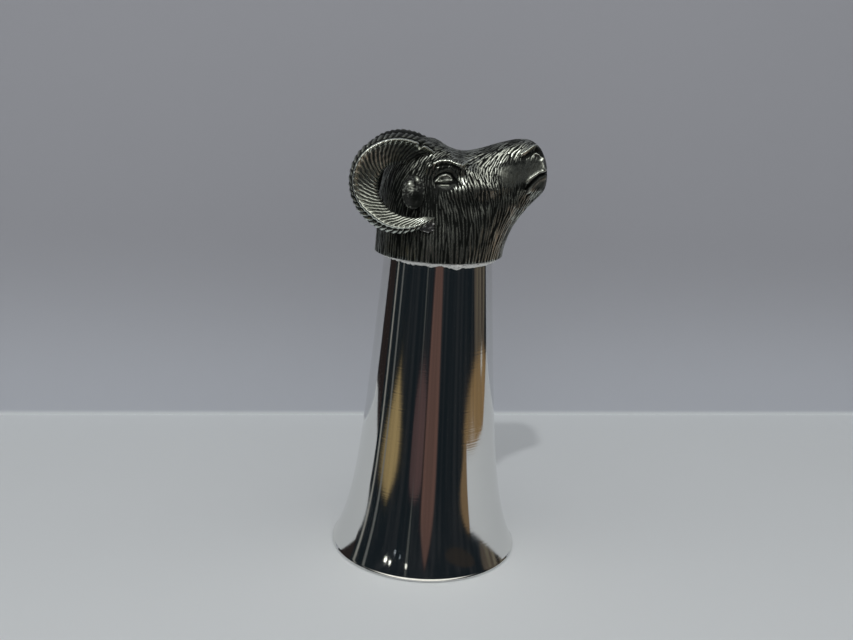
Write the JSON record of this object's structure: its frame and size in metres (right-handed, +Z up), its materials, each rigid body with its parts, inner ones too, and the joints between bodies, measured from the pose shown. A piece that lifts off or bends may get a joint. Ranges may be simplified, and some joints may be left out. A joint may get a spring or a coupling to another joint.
{
  "type": "stirrup cup",
  "caption": "Flared pewter stirrup cup that stands on its mouth, with a cast ram's head soldered over its closed end. Turned over, it is drunk from in one draught.",
  "frame": {"origin": "centre of the mouth, on the surface that the cup stands on", "axes": "+Z up along the beaker's axis, from the mouth to the ram's head; +X the way the ram looks; its right side at -Y"},
  "size_m": [0.0642, 0.0628, 0.1389],
  "materials": {
    "polished_pewter": "polished",
    "antiqued_pewter": "satin",
    "solder": "satin"
  },
  "bodies": {
    "root": {"beaker_body": "polished_pewter", "head_casting": "antiqued_pewter", "right_horn": "antiqued_pewter", "left_horn": "antiqued_pewter", "right_ear": "antiqued_pewter", "left_ear": "antiqued_pewter", "neck_solder_bead": "solder", "right_horn_tack": "solder", "left_horn_tack": "solder"}
  },
  "joints": []
}
